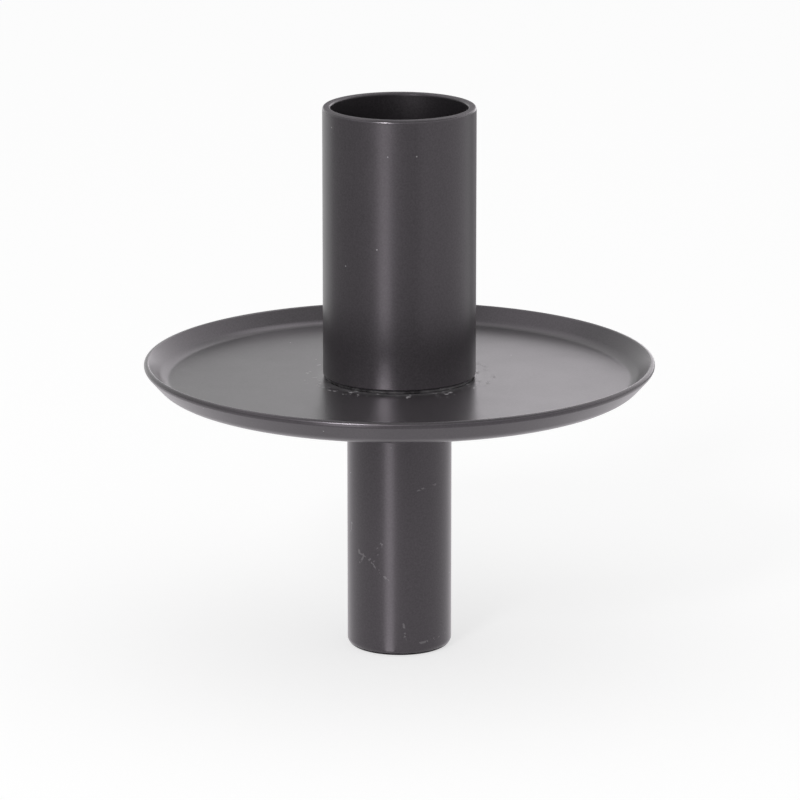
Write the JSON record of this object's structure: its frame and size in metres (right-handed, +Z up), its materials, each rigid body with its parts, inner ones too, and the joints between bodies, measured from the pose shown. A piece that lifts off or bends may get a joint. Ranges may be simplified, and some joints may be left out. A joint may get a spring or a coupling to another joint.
{
  "type": "candlestick",
  "caption": "Black iron candlestick for a bottle neck: an open candle tube over a shallow flared drip tray, on a hollow stem that drops into the bottle.",
  "frame": {"origin": "centre of the stem's lower end, on the surface that the candlestick stands on", "axes": "+Z up along the common axis of the stem, the tray and the candle tube; the part is round, so X and Y are free, with -Y towards the picture's viewer"},
  "size_m": [0.0848, 0.0848, 0.0918],
  "materials": {
    "black_paint": "satin black powder coat on steel",
    "zinc_plate": "bright zinc plate"
  },
  "bodies": {
    "root": {"stem_tube": "black_paint", "stem_plug": "black_paint", "drip_tray": "black_paint", "socket_floor": "black_paint", "candle_tube": "black_paint", "clamp_screw": "zinc_plate", "spring_washer": "zinc_plate"}
  },
  "joints": []
}
